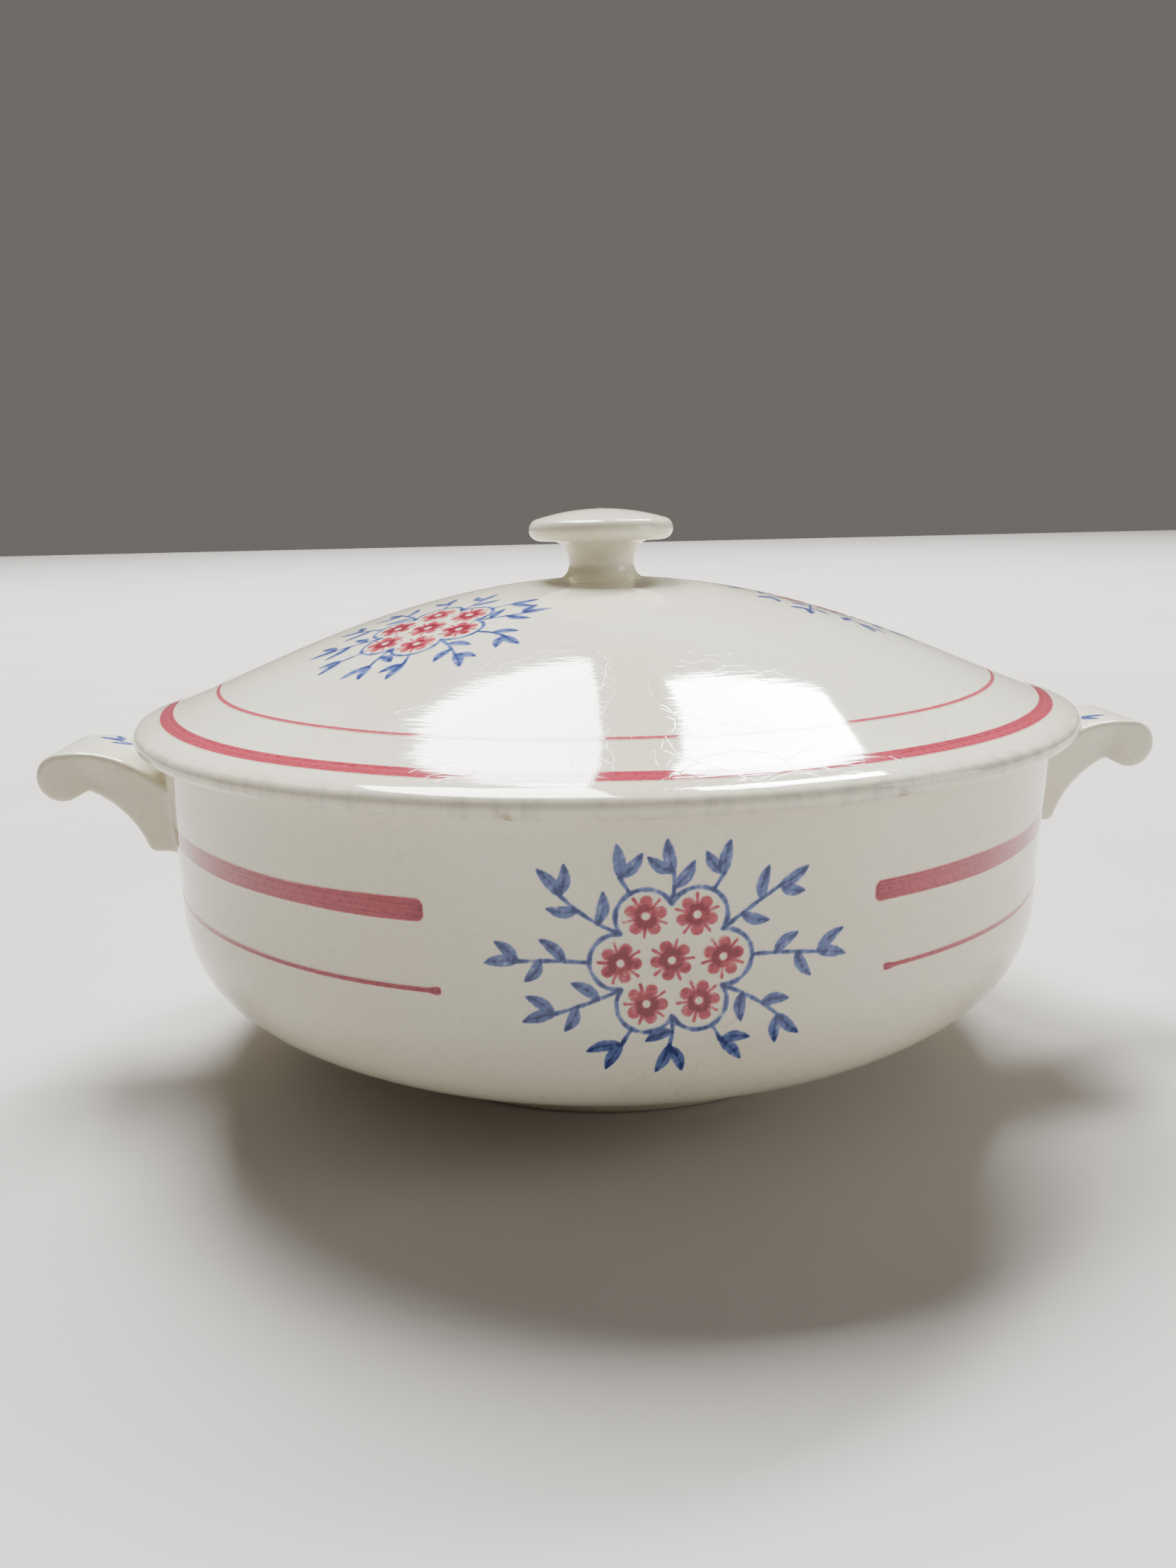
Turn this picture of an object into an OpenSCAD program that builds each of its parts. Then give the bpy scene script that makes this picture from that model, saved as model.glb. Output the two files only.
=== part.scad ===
// Round covered serving dish in glazed earthenware: a bowl on a foot ring, with two scroll handles, and a
// domed lid with a locating collar and a disc knob. Millimetres. The origin is the middle of the foot's
// underside, the handles lie along X, and +Z is up.

/* [Bowl] */
// Outer radius of the bowl at its rim
rim_r = 124; // [121:0.5:127]
// How much the wall widens from the shoulder up to the rim
wall_flare = 3; // [0:0.5:4]
// Height of the bowl's rim above the table
rim_z = 94.5; // [92:0.5:100]
// Height where the straight wall turns into the rounded belly
shoulder_z = 52; // [48:0.5:56]
// Height where the belly's curve would close if the foot did not cut it off
belly_low_z = 5.5; // [4:0.5:7]
// Squareness of the belly's curve: 2 is an ellipse, more is squarer
belly_power = 2.9; // [2.4:0.1:3.4]
// Thickness of the bowl's wall
wall_t = 5.5; // [4.5:0.1:6.5]
// Height of the inside floor above the table
floor_z = 15; // [14:0.5:17]

/* [Foot] */
// Outer radius of the foot ring
foot_r = 69; // [62:0.5:74]
// Width of the foot ring's bearing face
foot_w = 6; // [4:0.5:9]
// Height of the foot ring
foot_h = 9; // [8:0.5:10]

/* [Lid] */
// Height of the lid's crown above the table, under the knob
crown_z = 131.2; // [124:0.2:138]
// Fall of the dome from its crown to the wall's radius
dome_fall = 36.4; // [30:0.2:38]
// Lift that flattens the dome again near its edge
dome_lift = 3.8; // [2:0.2:5]
// Roundness of the dome: 2 is a parabola, less is more pointed
dome_power = 1.94; // [1.8:0.02:2.1]
// Outer radius of the lid over its rolled edge
lid_r = 130; // [128:0.5:134]
// Radius of the rolled edge's section
bead_r = 2.7; // [2.3:0.1:2.8]
// Thickness of the lid at its crown
lid_t = 5.5; // [4.5:0.1:6.5]

/* [Collar] */
// Outer radius of the collar that drops inside the bowl
collar_r = 116.2; // [114:0.2:116.4]
// Thickness of the collar
collar_t = 4; // [3:0.5:5]
// Depth of the collar below the lid's seat
collar_h = 8; // [5:0.5:12]

/* [Knob] */
// Radius of the knob's disc
knob_r = 20.4; // [18:0.2:24]
// Radius of the knob's waist
knob_waist_r = 9.4; // [8:0.2:11]
// Height of the knob's top above the table
knob_top_z = 150.2; // [149:0.2:156]

/* [Handles] */
// Distance from the dish's axis to the tip of a handle
handle_reach = 158; // [155:0.5:160]
// Width of a handle across the scroll
handle_w = 32; // [26:1:42]
// Height of a handle's highest point above the table
handle_top_z = 87.6; // [86:0.2:89]
// Radius of the curled tip
curl_r = 6.8; // [5.6:0.1:7.4]
// Radius of the handle's long upper curve
back_r = 38; // [36:1:48]
// Radius of the arch that the fingers go under
arch_r = 26; // [24:0.5:28]
// Radius of the rounded lower end against the wall
heel_r = 2.6; // [2:0.1:3.2]

/* [Hidden] */
$fn = 128;

glaze_cream = [0.90, 0.88, 0.80];
bare_clay = [0.83, 0.77, 0.66];

// Bowl
belly_r = rim_r - wall_flare;
belly_steps = 14;
wall_steps = 5;
flare_power = 1.5;
rim_round = 1.8;
round_steps = 4;

// Foot
foot_taper = 1.5;
foot_round = 1;

// Lid: the dome's curve ends just inside the bowl's rim, and the rolled edge hangs a little below the rim
dome_inset = 1.2;
dome_end_r = rim_r - dome_inset;
lift_power = 8;
dome_steps = 22;
bead_hang = 0.3;
bead_centre = [lid_r - bead_r, rim_z - bead_hang];
bead_start = 69;
bead_top_steps = 4;
bead_low_steps = 13;
collar_round = 1.2;

// Knob
knob_flare_r = 3.8;
knob_base_r = knob_waist_r + knob_flare_r;
knob_base_z = dome_z(knob_base_r);
knob_disc_h = 9;
knob_edge_drop = 5.7;
knob_under_z = knob_top_z - knob_disc_h;
knob_edge_z = knob_top_z - knob_edge_drop;
knob_edge_r = 3.1;
knob_edge_start = -85;
knob_edge_stop = 70;
knob_neck_top_r = 13.6;
arc_steps = 8;

// Handle: the curl sits inside the long upper curve and is tangent to it
handle_bury = 8;
handle_root_r = rim_r - handle_bury;
curl_x = handle_reach - curl_r;
back_tilt = 5.5;
back_centre = [curl_x - (back_r - curl_r) * sin(back_tilt), handle_top_z - back_r];
back_start_angle = 90 + asin((back_centre[0] - handle_root_r) / back_r);
curl_centre = [curl_x, back_centre[1] + (back_r - curl_r) * cos(back_tilt)];
curl_end_angle = -105;
notch_gap = 6.7;
arch_top_t = 11;
notch = [curl_x - notch_gap, handle_top_z - arch_top_t];
arch_start_angle = 110.5;
arch_end_angle = 160.5;
arch_centre = notch - arch_r * [cos(arch_start_angle), sin(arch_start_angle)];
heel_centre = arch_centre + (arch_r + heel_r) * [cos(arch_end_angle), sin(arch_end_angle)];
heel_skip_angle = 8;
heel_start_angle = arch_end_angle - 180 - heel_skip_angle;
back_steps = 14;
curl_steps = 18;
arch_steps = 12;
heel_steps = 7;

// A point at an angle on a circle
function on_circle(centre, r, angle) = [centre[0] + r * cos(angle), centre[1] + r * sin(angle)];

// Points along an arc from one angle to another
function arc(centre, r, from, to, steps) =
    [for (i = [0:steps]) on_circle(centre, r, from + (to - from) * i / steps)];

// Height of the dome's upper face at a radius
function dome_z(r) = crown_z - dome_fall * pow(r / dome_end_r, dome_power)
    + dome_lift * pow(r / dome_end_r, lift_power);

// A belly curve from the widest point down and in, until it reaches the height end_z
function belly(r, low_z, end_z) =
    let (drop = shoulder_z - low_z, last = asin(pow((shoulder_z - end_z) / drop, belly_power / 2)))
    [for (i = [0:belly_steps])
        let (a = last * i / belly_steps)
        [r * pow(cos(a), 2 / belly_power), shoulder_z - drop * pow(sin(a), 2 / belly_power)]];

// Radius of the wall's outside at a height above the shoulder
function wall_r(z) = belly_r + wall_flare * pow((z - shoulder_z) / (rim_z - shoulder_z), flare_power);

// The wall from the shoulder up to just under the rounded rim, moved in by inset
function wall(inset) =
    [for (i = [1:wall_steps])
        let (z = shoulder_z + (rim_z - rim_round - shoulder_z) * i / wall_steps)
        [wall_r(z) - inset, z]];

function reversed(points) = [for (i = [len(points) - 1:-1:0]) points[i]];

// Everything inside the bowl's outer face, used to fit the handles to it
module bowl_envelope() {
    rotate_extrude()
        polygon(concat(
            [[0, foot_h]],
            reversed(belly(belly_r, belly_low_z, foot_h)),
            wall(0),
            [[0, rim_z - rim_round]]
        ));
}

module bowl() {
    rim_outer = [wall_r(rim_z - rim_round) - rim_round, rim_z - rim_round];
    rim_inner = [rim_outer[0] - wall_t + 2 * rim_round, rim_z - rim_round];
    color(glaze_cream)
        rotate_extrude()
            polygon(concat(
                [[0, foot_h]],
                reversed(belly(belly_r, belly_low_z, foot_h)),
                wall(0),
                arc(rim_outer, rim_round, 90 / round_steps, 90, round_steps - 1),
                arc(rim_inner, rim_round, 90, 180 - 90 / round_steps, round_steps - 1),
                reversed(wall(wall_t)),
                belly(belly_r - wall_t, floor_z, floor_z)
            ));
}

module foot_ring() {
    inner_r = foot_r - foot_w;
    color(bare_clay)
        rotate_extrude()
            polygon(concat(
                [[inner_r - foot_taper, foot_h]],
                arc([inner_r + foot_round, foot_round], foot_round, 180, 270, round_steps),
                arc([foot_r - foot_round, foot_round], foot_round, 270, 360, round_steps),
                [[foot_r + foot_taper, foot_h]]
            ));
}

// Side outline of one handle, from its root in the wall out along the top and back underneath
function handle_outline() = concat(
    arc(back_centre, back_r, back_start_angle, 90 - back_tilt, back_steps),
    arc(curl_centre, curl_r, 90 - back_tilt, curl_end_angle, curl_steps),
    arc(arch_centre, arch_r, arch_start_angle, arch_end_angle, arch_steps),
    arc(heel_centre, heel_r, heel_start_angle, -90, heel_steps),
    [[handle_root_r, heel_centre[1] - heel_r]]
);

module handle() {
    color(glaze_cream)
        difference() {
            rotate([90, 0, 0])
                linear_extrude(height = handle_w, center = true)
                    polygon(handle_outline());
            bowl_envelope();
        }
}

module handle_right() {
    handle();
}

module handle_left() {
    mirror([1, 0, 0])
        handle();
}

module lid() {
    inner_r = collar_r - collar_t;
    dome_r = bead_centre[0] + bead_r * cos(bead_start);
    seat_angle = -180 - asin((rim_z - bead_centre[1]) / bead_r);
    color(glaze_cream)
        rotate_extrude()
            polygon(concat(
                [[0, knob_base_z]],
                [for (i = [0:dome_steps - 1])
                    let (r = knob_base_r + (dome_r - knob_base_r) * i / dome_steps)
                    [r, dome_z(r)]],
                arc(bead_centre, bead_r, bead_start, 0, bead_top_steps),
                arc(bead_centre, bead_r, seat_angle / bead_low_steps, seat_angle, bead_low_steps - 1),
                [for (i = [0:dome_steps])
                    let (r = inner_r * (1 - i / dome_steps))
                    [r, rim_z + (crown_z - lid_t - rim_z) * (1 - pow(r / inner_r, dome_power))]]
            ));
}

module lid_collar() {
    inner_r = collar_r - collar_t;
    round_z = rim_z - collar_h + collar_round;
    color(glaze_cream)
        rotate_extrude()
            polygon(concat(
                [[inner_r, rim_z]],
                arc([inner_r + collar_round, round_z], collar_round, 180, 270, round_steps),
                arc([collar_r - collar_round, round_z], collar_round, 270, 360, round_steps),
                [[collar_r, rim_z]]
            ));
}

module knob() {
    neck_w = knob_neck_top_r - knob_waist_r;
    neck_low_z = knob_base_z + knob_flare_r;
    neck_h = knob_under_z - neck_low_z;
    edge_centre = [knob_r - knob_edge_r, knob_edge_z];
    crown_r = edge_centre[0] + knob_edge_r * cos(knob_edge_stop);
    crown_edge_z = knob_edge_z + knob_edge_r * sin(knob_edge_stop);
    color(glaze_cream)
        rotate_extrude()
            polygon(concat(
                [[0, knob_base_z]],
                arc([knob_base_r, neck_low_z], knob_flare_r, 270, 180, arc_steps),
                [for (i = [1:arc_steps])
                    let (a = 90 * i / arc_steps)
                    [knob_waist_r + neck_w * (1 - cos(a)), neck_low_z + neck_h * sin(a)]],
                arc(edge_centre, knob_edge_r, knob_edge_start, 0, arc_steps),
                arc(edge_centre, knob_edge_r, knob_edge_stop / arc_steps, knob_edge_stop, arc_steps - 1),
                [for (i = [1:arc_steps])
                    let (r = crown_r * (1 - i / arc_steps))
                    [r, knob_top_z - (knob_top_z - crown_edge_z) * pow(r / crown_r, 2)]]
            ));
}

bowl();
foot_ring();
handle_left();
handle_right();
lid();
lid_collar();
knob();
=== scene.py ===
"""Looks of the covered serving dish: glazed bowl, foot ring, scroll handles, lid, collar and knob, with
hand-painted flowers, leaves and bands. Shapes are worked out in millimetres and turned into metres once."""
import math

import bpy
import numpy as np
from mathutils import Matrix, Vector


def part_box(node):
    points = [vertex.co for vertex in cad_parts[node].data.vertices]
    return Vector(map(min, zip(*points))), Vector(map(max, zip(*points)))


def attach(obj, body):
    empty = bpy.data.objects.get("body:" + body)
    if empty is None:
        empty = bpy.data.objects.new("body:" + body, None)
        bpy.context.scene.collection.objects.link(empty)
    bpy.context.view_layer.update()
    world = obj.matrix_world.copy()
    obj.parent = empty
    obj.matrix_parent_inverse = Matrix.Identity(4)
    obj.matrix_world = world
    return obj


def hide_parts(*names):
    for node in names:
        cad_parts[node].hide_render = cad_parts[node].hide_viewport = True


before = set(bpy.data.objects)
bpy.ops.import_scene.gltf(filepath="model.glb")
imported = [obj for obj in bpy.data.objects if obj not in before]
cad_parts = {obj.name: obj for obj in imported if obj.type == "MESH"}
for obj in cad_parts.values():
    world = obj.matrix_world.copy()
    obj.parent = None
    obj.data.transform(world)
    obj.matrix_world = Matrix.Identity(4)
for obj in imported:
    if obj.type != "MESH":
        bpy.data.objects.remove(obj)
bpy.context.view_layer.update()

MM = 0.001
FULL_TURN = 2 * math.pi


# ---------------------------------------------------------------------------------------- camera

CAMERA_PLACE = (-0.0273, -0.3731, 0.1536)
CAMERA_YAW = 3.4
CAMERA_PITCH = 12.48
CAMERA_ROLL = -1.17
CAMERA_LENS = 29.88


def add_camera():
    """A phone camera a little above the dish, looking down at its front."""
    yaw, pitch, roll = (math.radians(a) for a in (CAMERA_YAW, CAMERA_PITCH, CAMERA_ROLL))
    forward = Vector((math.sin(yaw) * math.cos(pitch), math.cos(yaw) * math.cos(pitch), -math.sin(pitch)))
    level_right = Vector((math.cos(yaw), -math.sin(yaw), 0))
    level_up = level_right.cross(forward)
    right = math.cos(roll) * level_right + math.sin(roll) * level_up
    up = -math.sin(roll) * level_right + math.cos(roll) * level_up
    data = bpy.data.cameras.new("camera")
    data.lens = CAMERA_LENS
    camera = bpy.data.objects.new("camera", data)
    turn = Matrix((right, up, -forward)).transposed().to_4x4()
    camera.matrix_world = Matrix.Translation(CAMERA_PLACE) @ turn
    bpy.context.scene.collection.objects.link(camera)
    bpy.context.scene.camera = camera


add_camera()


# ------------------------------------------------------------------- main sizes, from the frame

def high(node, axis):
    """Highest coordinate of a CAD node along an axis, in millimetres."""
    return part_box(node)[1][axis] / MM


RIM_Z = high("bowl", 2)
FOOT_H = high("foot_ring", 2)
LID_R = high("lid", 0)
COLLAR_R = high("lid_collar", 0)
COLLAR_LOW_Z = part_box("lid_collar")[0][2] / MM
KNOB_R = high("knob", 0)
KNOB_TOP_Z = high("knob", 2)
HANDLE_REACH = high("handle_right", 0)
HANDLE_TOP_Z = high("handle_right", 2)
HANDLE_HALF_W = high("handle_right", 1)
FOOT_TAPER = 1.5
FOOT_R = high("foot_ring", 0) - FOOT_TAPER

SHOULDER_Z = 52
BELLY_R = 121
BELLY_DROP = 46.5
BELLY_POWER = 2.9
WALL_FLARE = 3
WALL_T = 5.5
FLOOR_Z = 15
RIM_ROUND = 1.8
FOOT_W = 6
FOOT_ROUND = 1

CROWN_Z = 131.2
DOME_FALL = 36.4
DOME_LIFT = 3.8
DOME_POWER = 1.94
DOME_END_R = 122.8
LID_T = 5.5
BEAD_R = 2.7
BEAD_CENTRE = (LID_R - BEAD_R, RIM_Z - 0.3)
BEAD_START = 69
COLLAR_T = 4
COLLAR_ROUND = 1.2

TURN_STEPS = 288


# -------------------------------------------------------------------------- surfaces and meshes

def arc(centre, radius, start, stop, steps):
    """Points along an arc, angles in degrees."""
    angles = np.radians(np.linspace(start, stop, steps + 1))
    return [(centre[0] + radius * math.cos(a), centre[1] + radius * math.sin(a)) for a in angles]


def bowl_radius(z):
    """Radius of the bowl's outer face at a height."""
    z = np.asarray(z, float)
    up = np.clip((z - SHOULDER_Z) / (RIM_Z - SHOULDER_Z), 0, None)
    down = np.clip((SHOULDER_Z - z) / BELLY_DROP, 0, 0.9999)
    return np.where(z > SHOULDER_Z, BELLY_R + WALL_FLARE * up ** 1.5,
                    BELLY_R * (1 - down ** BELLY_POWER) ** (1 / BELLY_POWER))


def dome_height(r):
    """Height of the lid's upper face at a radius."""
    part = np.asarray(r, float) / DOME_END_R
    return CROWN_Z - DOME_FALL * part ** DOME_POWER + DOME_LIFT * part ** 8


WAVES = [(rng_dir / np.linalg.norm(rng_dir) * FULL_TURN / length, phase)
         for rng in [np.random.default_rng(11)]
         for rng_dir, length, phase in [(rng.normal(size=3), rng.uniform(38, 95), rng.uniform(0, FULL_TURN))
                                        for _ in range(9)]]
UNEVEN = 0.22


def unevenness(points):
    """How far hand-finished clay lies inside its perfect shape, 0 to UNEVEN, smooth over centimetres."""
    total = sum(np.sin(points @ wave + phase) for wave, phase in WAVES)
    return UNEVEN * (0.5 + 0.5 * np.tanh(total / 3))


def sink(points, normals, lift=0.0):
    """Points moved along their normals to the uneven surface, and by a lift over it."""
    return points + normals * (lift - unevenness(points))[:, None]


def turned_points(r, z, slope_r, slope_z, angles):
    """Points and normals of a surface of revolution; the slopes are the normal's parts outward and up."""
    cos_a, sin_a = np.cos(angles), np.sin(angles)
    points = np.stack([r * cos_a, r * sin_a, z + 0 * cos_a], -1)
    normals = np.stack([slope_r * cos_a, slope_r * sin_a, slope_z + 0 * cos_a], -1)
    return points, normals / np.linalg.norm(normals, axis=-1, keepdims=True)


def new_object(name, points, faces, material, body, nodes=(), smooth_angle=40):
    """A mesh object from points in millimetres, riding on a body and standing for CAD nodes."""
    mesh = bpy.data.meshes.new(name)
    mesh.from_pydata((np.asarray(points) * MM).tolist(), [], faces)
    mesh.validate()
    mesh.shade_smooth()
    mesh.set_sharp_from_angle(angle=math.radians(smooth_angle))
    mesh.materials.append(material)
    piece = bpy.data.objects.new(name, mesh)
    bpy.context.scene.collection.objects.link(piece)
    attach(piece, body)
    if nodes:
        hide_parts(*nodes)
    return piece


def revolve(profile, closed_ring=False):
    """Points and faces of a turned solid. The profile runs counter-clockwise seen with r to the right and z
    up. Unless it is a closed ring, it starts and ends on the axis."""
    profile = np.array(profile, float)
    ring = profile if closed_ring else profile[1:-1]
    ahead = np.roll(ring, -1, axis=0) if closed_ring else profile[2:]
    behind = np.roll(ring, 1, axis=0) if closed_ring else profile[:-2]
    along = ahead - behind
    normal = np.stack([along[:, 1], -along[:, 0]], -1)
    normal /= np.linalg.norm(normal, axis=1, keepdims=True)
    angles = np.arange(TURN_STEPS) * FULL_TURN / TURN_STEPS
    points, normals = turned_points(ring[:, :1], ring[:, 1:], normal[:, :1], normal[:, 1:], angles[None, :])
    points = sink(points.reshape(-1, 3), normals.reshape(-1, 3))
    rows = len(ring)
    faces = []
    for i in range(rows if closed_ring else rows - 1):
        low, top = i * TURN_STEPS, (i + 1) % rows * TURN_STEPS
        for j in range(TURN_STEPS):
            k = (j + 1) % TURN_STEPS
            faces.append((low + j, low + k, top + k, top + j))
    if not closed_ring:
        poles = [(0, 0, profile[0, 1]), (0, 0, profile[-1, 1])]
        first, last = len(points), len(points) + 1
        points = np.vstack([points, poles])
        top = (rows - 1) * TURN_STEPS
        for j in range(TURN_STEPS):
            k = (j + 1) % TURN_STEPS
            faces.append((first, k, j))
            faces.append((last, top + j, top + k))
    return points, faces


def belly_points(radius, low_z, end_z, steps):
    """The belly's curve from the widest point down and in, until it reaches end_z."""
    drop = SHOULDER_Z - low_z
    last = math.asin(((SHOULDER_Z - end_z) / drop) ** (BELLY_POWER / 2))
    turn = np.linspace(0, last, steps + 1)
    return list(zip(radius * np.cos(turn) ** (2 / BELLY_POWER),
                    SHOULDER_Z - drop * np.sin(turn) ** (2 / BELLY_POWER)))


def bowl_profile():
    outer = belly_points(BELLY_R, SHOULDER_Z - BELLY_DROP, FOOT_H, 46)[::-1]
    heights = np.linspace(SHOULDER_Z, RIM_Z - RIM_ROUND, 24)[1:]
    wall = [(float(bowl_radius(z)), z) for z in heights]
    rim_out = (wall[-1][0] - RIM_ROUND, RIM_Z - RIM_ROUND)
    rim_in = (rim_out[0] - WALL_T + 2 * RIM_ROUND, RIM_Z - RIM_ROUND)
    inner_wall = [(r - WALL_T, z) for r, z in wall[::-1]]
    inner = belly_points(BELLY_R - WALL_T, FLOOR_Z, FLOOR_Z + 0.01, 40)
    base = [(r, FOOT_H) for r in np.linspace(0, outer[0][0], 12)[:-1]]
    floor = [(r, FLOOR_Z) for r in np.linspace(inner[-1][0], 0, 12)[1:]]
    return (base + outer + wall + arc(rim_out, RIM_ROUND, 10, 90, 8) + arc(rim_in, RIM_ROUND, 90, 170, 8)
            + inner_wall + inner + floor)


def foot_profile():
    inner = FOOT_R - FOOT_W
    return ([(inner - FOOT_TAPER, FOOT_H)]
            + [(inner - FOOT_TAPER * t, FOOT_ROUND + (FOOT_H - FOOT_ROUND) * t) for t in (0.7, 0.4)]
            + arc((inner + FOOT_ROUND, FOOT_ROUND), FOOT_ROUND, 180, 270, 6)
            + arc((FOOT_R - FOOT_ROUND, FOOT_ROUND), FOOT_ROUND, 270, 360, 6)
            + [(FOOT_R + FOOT_TAPER * t, FOOT_ROUND + (FOOT_H - FOOT_ROUND) * t) for t in (0.4, 0.7, 1)])


def lid_profile():
    """With z up, the lid runs from the middle of its underside out along the seat and back over the top."""
    inner_r = COLLAR_R - COLLAR_T
    seat_angle = -180 - math.degrees(math.asin((RIM_Z - BEAD_CENTRE[1]) / BEAD_R))
    inner_fall = CROWN_Z - LID_T - RIM_Z
    inside = [(r, RIM_Z + inner_fall * (1 - (r / inner_r) ** DOME_POWER))
              for r in np.linspace(0, inner_r, 60)]
    seat = [(r, RIM_Z) for r in np.linspace(inner_r, 124.6, 6)[1:-1]]
    bead = arc(BEAD_CENTRE, BEAD_R, seat_angle, BEAD_START, 40)
    dome = [(r, float(dome_height(r))) for r in np.linspace(bead[-1][0], 0, 90)[1:]]
    return inside + seat + bead + dome


def collar_profile():
    inner_r = COLLAR_R - COLLAR_T
    round_z = COLLAR_LOW_Z + COLLAR_ROUND
    return ([(inner_r, RIM_Z), (inner_r, RIM_Z - 3)]
            + arc((inner_r + COLLAR_ROUND, round_z), COLLAR_ROUND, 180, 270, 8)
            + arc((COLLAR_R - COLLAR_ROUND, round_z), COLLAR_ROUND, 270, 360, 8)
            + [(COLLAR_R, RIM_Z - 3), (COLLAR_R, RIM_Z)])


KNOB_WAIST_R = 9.4
KNOB_FLARE_R = 3.8
KNOB_NECK_TOP_R = 13.6
KNOB_DISC_H = 9
KNOB_EDGE_R = 3.1
KNOB_EDGE_DROP = 5.7
KNOB_SKIRT_R = 17


def knob_profile():
    """Skirt on the dome, flare, waist, flaring neck, rounded disc edge and shallow crown."""
    flare_r = KNOB_WAIST_R + KNOB_FLARE_R
    flare_z = float(dome_height(flare_r)) + KNOB_FLARE_R
    skirt_z = float(dome_height(KNOB_SKIRT_R)) - 0.05
    flare = arc((flare_r, flare_z), KNOB_FLARE_R, 262, 180, 14)
    meet = np.array((flare_r + 1, flare[0][1] - 0.2))
    skirt = [tuple((1 - t) ** 2 * np.array((KNOB_SKIRT_R, skirt_z)) + 2 * t * (1 - t) * meet
                   + t * t * np.array(flare[0])) for t in np.linspace(0, 1, 9)[:-1]]
    under_z = KNOB_TOP_Z - KNOB_DISC_H
    neck = [(KNOB_WAIST_R + (KNOB_NECK_TOP_R - KNOB_WAIST_R) * (1 - math.cos(a)),
             flare_z + (under_z - flare_z) * math.sin(a)) for a in np.linspace(0, math.pi / 2, 14)[1:]]
    edge_centre = (KNOB_R - KNOB_EDGE_R, KNOB_TOP_Z - KNOB_EDGE_DROP)
    edge = arc(edge_centre, KNOB_EDGE_R, -85, 70, 24)
    crown = [(edge[-1][0] * t, KNOB_TOP_Z - (KNOB_TOP_Z - edge[-1][1]) * t * t)
             for t in np.linspace(1, 0, 16)[1:]]
    base_z = skirt_z - 1
    base = [(0, base_z), (6, base_z), (12, base_z), (KNOB_SKIRT_R - 0.4, base_z)]
    return base + skirt + flare + neck + edge + crown


# --------------------------------------------------------------- scroll handles, from one field

CURL_R = 6.8
BACK_R = 38
BACK_TILT = 5.5
CURL_END = -105
NOTCH_GAP = 6.7
ARCH_TOP_T = 11
ARCH_R = 26
ARCH_START = 110.5
ARCH_END = 160.5
HEEL_R = 2.6
HEEL_SKIP = 8
HANDLE_ROOT_R = 116
HANDLE_EDGE = 1.3
FILLET = 4
SKIN_DEPTH = 0.12
DIMPLE = 1.1
HANDLE_SPREAD = 2

CURL_X = HANDLE_REACH - CURL_R
BACK_CENTRE = (CURL_X - (BACK_R - CURL_R) * math.sin(math.radians(BACK_TILT)), HANDLE_TOP_Z - BACK_R)
CURL_CENTRE = (CURL_X, BACK_CENTRE[1] + (BACK_R - CURL_R) * math.cos(math.radians(BACK_TILT)))


def on_circle(centre, radius, angle):
    a = math.radians(angle)
    return (centre[0] + radius * math.cos(a), centre[1] + radius * math.sin(a))


NOTCH = (CURL_X - NOTCH_GAP, HANDLE_TOP_Z - ARCH_TOP_T)
ARCH_CENTRE = on_circle(NOTCH, -ARCH_R, ARCH_START)
HEEL_CENTRE = on_circle(ARCH_CENTRE, ARCH_R + HEEL_R, ARCH_END)


def handle_outline():
    """Side outline of the right handle in x and z."""
    start = 90 + math.degrees(math.asin((BACK_CENTRE[0] - HANDLE_ROOT_R) / BACK_R))
    return np.array(arc(BACK_CENTRE, BACK_R, start, 90 - BACK_TILT, 24)
                    + arc(CURL_CENTRE, CURL_R, 90 - BACK_TILT, CURL_END, 30)[1:]
                    + arc(ARCH_CENTRE, ARCH_R, ARCH_START, ARCH_END, 20)
                    + arc(HEEL_CENTRE, HEEL_R, ARCH_END - 180 - HEEL_SKIP, -90, 8)
                    + [(HANDLE_ROOT_R, HEEL_CENTRE[1] - HEEL_R)])


def outline_depth(outline, x, z):
    """Signed distance to a closed outline, negative inside."""
    near = np.full(x.shape, 1e9)
    inside = np.zeros(x.shape, bool)
    for (ax, az), (bx, bz) in zip(outline, np.roll(outline, -1, axis=0)):
        along_x, along_z = bx - ax, bz - az
        part = np.clip(((x - ax) * along_x + (z - az) * along_z) / (along_x ** 2 + along_z ** 2), 0, 1)
        near = np.minimum(near, (x - ax - part * along_x) ** 2 + (z - az - part * along_z) ** 2)
        crosses = (az > z) != (bz > z)
        with np.errstate(divide="ignore", invalid="ignore"):
            inside ^= crosses & (x < ax + (z - az) * along_x / along_z)
    return np.where(inside, -1, 1) * np.sqrt(near)


def smooth_union(a, b, width):
    """The union of two fields, with a fillet of about the given width."""
    mix = np.clip(0.5 + 0.5 * (b - a) / width, 0, 1)
    return b + (a - b) * mix - width * mix * (1 - mix)


OUTLINE = handle_outline()


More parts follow.
